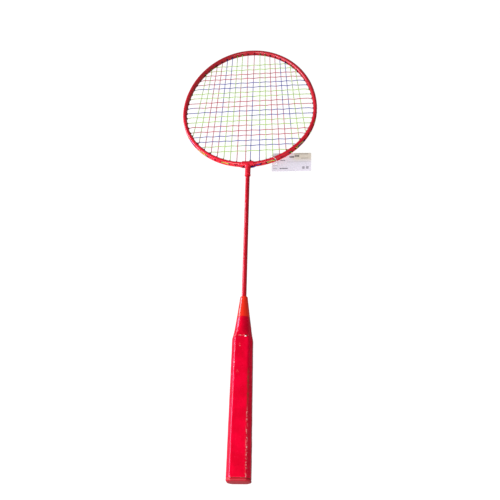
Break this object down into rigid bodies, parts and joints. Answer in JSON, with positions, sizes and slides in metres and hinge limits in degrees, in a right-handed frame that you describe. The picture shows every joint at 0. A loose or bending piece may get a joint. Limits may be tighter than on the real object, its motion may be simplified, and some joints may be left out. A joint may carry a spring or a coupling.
{
  "type": "badminton racket",
  "caption": "Badminton racket with an oval steel head, woven dyed strings, a T-joint, a thin steel shaft, a plastic cone, an octagonal vinyl grip and a hanging price tag.",
  "frame": {"origin": "centre of the butt's end face, on the shaft's axis", "axes": "+Y along the shaft towards the tip of the head, +X across the head, +Z square to the string bed; the racket lies flat"},
  "size_m": [0.2054, 0.6697, 0.0227],
  "materials": {
    "red_paint": "glossy red enamel over steel tube",
    "orange_plastic": "orange-red moulded plastic",
    "bare_wood": "plain turned softwood, hidden",
    "crimson_vinyl": "glossy crimson vinyl sleeve with small dents",
    "cap_plastic": "crimson moulded plastic",
    "tack_steel": "bright plated steel",
    "string_nylon": "dyed nylon in lime, crimson-pink and blue lengths",
    "black_nylon": "black moulded nylon",
    "tag_card": "coated paper card",
    "clear_nylon": "translucent white nylon"
  },
  "bodies": {
    "racket": {"head_frame": "red_paint", "t_joint": "red_paint", "shaft": "red_paint", "cone_cap": "orange_plastic", "handle_core": "bare_wood", "grip_sleeve": "crimson_vinyl", "butt_cap": "cap_plastic", "grip_tack": "tack_steel", "main_string": "string_nylon", "cross_string": "string_nylon", "joint_grommet_left": "black_nylon", "joint_grommet_right": "black_nylon", "grommet_pair_left_01": "black_nylon", "grommet_pair_left_02": "black_nylon", "grommet_pair_left_03": "black_nylon", "grommet_pair_left_04": "black_nylon", "grommet_pair_left_05": "black_nylon", "grommet_pair_left_06": "black_nylon", "grommet_pair_left_07": "black_nylon", "grommet_pair_left_08": "black_nylon", "grommet_pair_left_09": "black_nylon", "grommet_pair_left_10": "black_nylon", "grommet_pair_left_11": "black_nylon", "grommet_pair_left_12": "black_nylon", "grommet_pair_left_13": "black_nylon", "grommet_pair_left_14": "black_nylon", "grommet_pair_left_15": "black_nylon", "grommet_pair_left_16": "black_nylon", "grommet_pair_left_17": "black_nylon", "grommet_pair_left_18": "black_nylon", "grommet_pair_right_01": "black_nylon", "grommet_pair_right_02": "black_nylon", "grommet_pair_right_03": "black_nylon", "grommet_pair_right_04": "black_nylon", "grommet_pair_right_05": "black_nylon", "grommet_pair_right_06": "black_nylon", "grommet_pair_right_07": "black_nylon", "grommet_pair_right_08": "black_nylon", "grommet_pair_right_09": "black_nylon", "grommet_pair_right_10": "black_nylon", "grommet_pair_right_11": "black_nylon", "grommet_pair_right_12": "black_nylon", "grommet_pair_right_13": "black_nylon", "grommet_pair_right_14": "black_nylon", "grommet_pair_right_15": "black_nylon", "grommet_pair_right_16": "black_nylon", "grommet_pair_right_17": "black_nylon", "grommet_pair_right_18": "black_nylon"},
    "loop": {"tag_loop": "clear_nylon"},
    "tag": {"price_tag": "tag_card"}
  },
  "joints": [
    {"name": "loop_swing", "type": "hinge", "parent": "racket", "child": "loop", "pos_m": [0.0361, 0.43262, 0], "axis": [0.8519, 0.5237, 0], "range_deg": [0, 15]},
    {"name": "tag_swivel", "type": "hinge", "parent": "loop", "child": "tag", "pos_m": [0.03929, 0.42979, -0.0053], "axis": [0, 0, 1], "range_deg": [-40, 4]}
  ]
}
